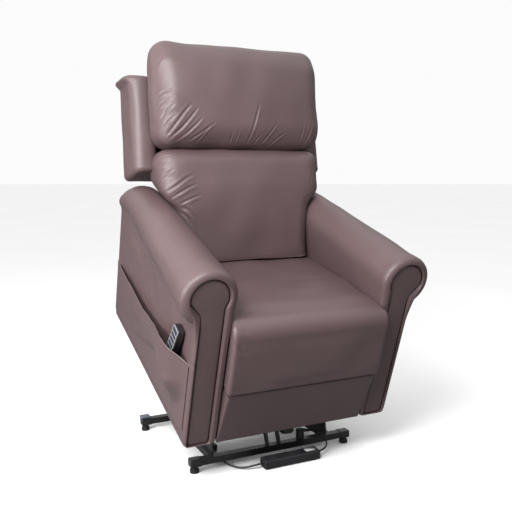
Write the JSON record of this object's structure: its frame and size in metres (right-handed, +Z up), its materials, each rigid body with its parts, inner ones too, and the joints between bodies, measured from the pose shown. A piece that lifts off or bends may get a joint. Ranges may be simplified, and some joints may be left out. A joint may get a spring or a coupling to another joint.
{
  "type": "lift recliner chair",
  "caption": "Padded recliner with rolled arms on a black powered lift base, raised and tipped forward, with a side pocket, a handset and a separate power supply.",
  "frame": {"origin": "centre of the footprint of the raised chair, on the floor under the feet", "axes": "+X to the viewer's right when facing the chair, +Y from the front of the seat to the rear, +Z up"},
  "size_m": [0.84, 0.9866, 1.3986],
  "materials": {
    "upholstery": "satin taupe-mauve leather-look cover over foam and light framing",
    "wood": "plain sawn timber and plywood",
    "black_steel": "black powder coat",
    "bright_steel": "zinc plated",
    "black_plastic": "fine texture",
    "lead_cover": "smooth",
    "actuator_grey": "satin",
    "handset_black": "gloss",
    "handset_silver": "silver paint",
    "handset_keys": "soft touch"
  },
  "bodies": {
    "base": {"front_crossbar": "black_steel", "rear_crossbar": "black_steel", "side_rails": "black_steel", "feet": "black_plastic", "rear_end_caps": "black_plastic", "base_brackets": "black_steel", "base_pins": "bright_steel", "lift_actuator_clevis": "black_steel", "connector_boxes": "black_plastic", "power_supply": "black_plastic", "lead_left": "lead_cover", "lead_right": "lead_cover"},
    "lift_arm": {"lift_arms": "black_steel"},
    "guide_link": {"guide_links": "black_steel"},
    "lift_actuator": {"lift_actuator_body": "actuator_grey", "lift_motor": "black_plastic"},
    "lift_rod": {"lift_rod": "bright_steel"},
    "chair": {"chassis_plates": "black_steel", "cross_tubes": "black_steel", "chassis_pins": "bright_steel", "seat_side_rails": "wood", "chassis_hangers": "black_steel", "seat_end_rails": "wood", "seat_deck": "wood", "seat_cushion": "upholstery", "arm_right": "upholstery", "arm_left": "upholstery", "arm_front_right": "upholstery", "arm_front_left": "upholstery", "rear_skirt": "upholstery", "rear_stretcher": "wood", "side_pocket": "upholstery", "handset_rest": "upholstery", "leg_hinge_plates": "black_steel", "leg_motor": "black_plastic", "back_hinge_plates": "black_steel", "back_actuator_clevis": "black_steel"},
    "leg_crank": {"leg_crankshaft": "black_steel"},
    "leg_coupler": {"leg_couplers": "black_steel"},
    "leg_rest": {"leg_brackets": "black_steel", "leg_board": "wood", "leg_pad": "upholstery", "leg_lower_panel": "upholstery"},
    "back": {"back_frame_sides": "black_steel", "back_frame_rails": "wood", "back_shell": "upholstery", "back_lower_panel": "upholstery", "lumbar_cushion": "upholstery", "head_cushion": "upholstery", "back_levers": "black_steel"},
    "back_actuator": {"back_actuator_body": "actuator_grey"},
    "back_rod": {"back_rod": "bright_steel"},
    "handset": {"handset_case": "handset_black", "handset_face": "handset_silver"},
    "handset_key_1": {"handset_key_1": "handset_keys"},
    "handset_key_2": {"handset_key_2": "handset_keys"},
    "handset_key_3": {"handset_key_3": "handset_keys"},
    "handset_key_4": {"handset_key_4": "handset_keys"},
    "handset_key_5": {"handset_key_5": "handset_keys"}
  },
  "joints": [
    {"name": "lift", "type": "hinge", "parent": "base", "child": "lift_arm", "pos_m": [0, -0.15413, 0.092], "axis": [1, 0, 0], "range_deg": [-43.7, 19.7]},
    {"name": "chair_tilt", "type": "hinge", "parent": "lift_arm", "child": "chair", "pos_m": [0, 0.03083, 0.30737], "axis": [1, 0, 0], "range_deg": [-11.98, 26.21]},
    {"name": "guide_swing", "type": "hinge", "parent": "base", "child": "guide_link", "pos_m": [0, -0.08913, 0.12], "axis": [1, 0, 0], "range_deg": [-37.84, 17.22]},
    {"name": "lift_actuator_swing", "type": "hinge", "parent": "base", "child": "lift_actuator", "pos_m": [0, -0.16713, 0.099], "axis": [1, 0, 0], "range_deg": [-38.19, 17.38]},
    {"name": "lift_rod_slide", "type": "slide", "parent": "lift_actuator", "child": "lift_rod", "axis": [0, 0.173, 0.9849], "range_m": [-0.06503, 0.02959]},
    {"name": "leg_rest_swing", "type": "hinge", "parent": "chair", "child": "leg_rest", "pos_m": [0, -0.42112, 0.47524], "axis": [-1, 0, 0], "range_deg": [0, 85]},
    {"name": "leg_crank_turn", "type": "hinge", "parent": "chair", "child": "leg_crank", "pos_m": [0, -0.23245, 0.37828], "axis": [-1, 0, 0], "range_deg": [-0.3, 85.3]},
    {"name": "leg_coupler_turn", "type": "hinge", "parent": "leg_crank", "child": "leg_coupler", "pos_m": [0, -0.19046, 0.28674], "axis": [-1, 0, 0], "range_deg": [-85.3, 0.3]},
    {"name": "back_recline", "type": "hinge", "parent": "chair", "child": "back", "pos_m": [0, 0.22046, 0.43967], "axis": [-1, 0, 0], "range_deg": [0, 38]},
    {"name": "back_actuator_swing", "type": "hinge", "parent": "chair", "child": "back_actuator", "pos_m": [0, -0.03832, 0.43116], "axis": [-1, 0, 0], "range_deg": [0, 4.94]},
    {"name": "back_rod_slide", "type": "slide", "parent": "back_actuator", "child": "back_rod", "axis": [0, 0.9937, -0.1117], "range_m": [-0.03167, 0.0005]},
    {"name": "handset_lift", "type": "slide", "parent": "chair", "child": "handset", "axis": [0, -0.4509, 0.8926], "range_m": [0, 0.05]},
    {"name": "key_1_rock", "type": "hinge", "parent": "handset", "child": "handset_key_1", "pos_m": [-0.39103, -0.32924, 0.51026], "axis": [0.1545, -0.4472, 0.881], "range_deg": [-5, 5], "stiffness_Nm_per_rad": 0.05},
    {"name": "key_2_rock", "type": "hinge", "parent": "handset", "child": "handset_key_2", "pos_m": [-0.39362, -0.32175, 0.49551], "axis": [0.1545, -0.4472, 0.881], "range_deg": [-5, 5], "stiffness_Nm_per_rad": 0.05},
    {"name": "key_3_rock", "type": "hinge", "parent": "handset", "child": "handset_key_3", "pos_m": [-0.39594, -0.31504, 0.48229], "axis": [0.1545, -0.4472, 0.881], "range_deg": [-5, 5], "stiffness_Nm_per_rad": 0.05},
    {"name": "key_4_rock", "type": "hinge", "parent": "handset", "child": "handset_key_4", "pos_m": [-0.39826, -0.30834, 0.46908], "axis": [0.1545, -0.4472, 0.881], "range_deg": [-5, 5], "stiffness_Nm_per_rad": 0.05},
    {"name": "key_5_rock", "type": "hinge", "parent": "handset", "child": "handset_key_5", "pos_m": [-0.40058, -0.30163, 0.45586], "axis": [0.1545, -0.4472, 0.881], "range_deg": [-5, 5], "stiffness_Nm_per_rad": 0.05}
  ],
  "couplings": [
    {"joint": "chair_tilt", "follows": "lift", "ratio": -0.593},
    {"joint": "guide_swing", "follows": "lift", "ratio": 0.859},
    {"joint": "lift_actuator_swing", "follows": "lift", "ratio": 0.867},
    {"joint": "lift_rod_slide", "follows": "lift", "m_per_rad": 0.0846},
    {"joint": "leg_crank_turn", "follows": "leg_rest_swing", "ratio": 1},
    {"joint": "leg_coupler_turn", "follows": "leg_rest_swing", "ratio": -1},
    {"joint": "back_actuator_swing", "follows": "back_recline", "ratio": 0.1275},
    {"joint": "back_rod_slide", "follows": "back_recline", "m_per_rad": -0.047}
  ]
}
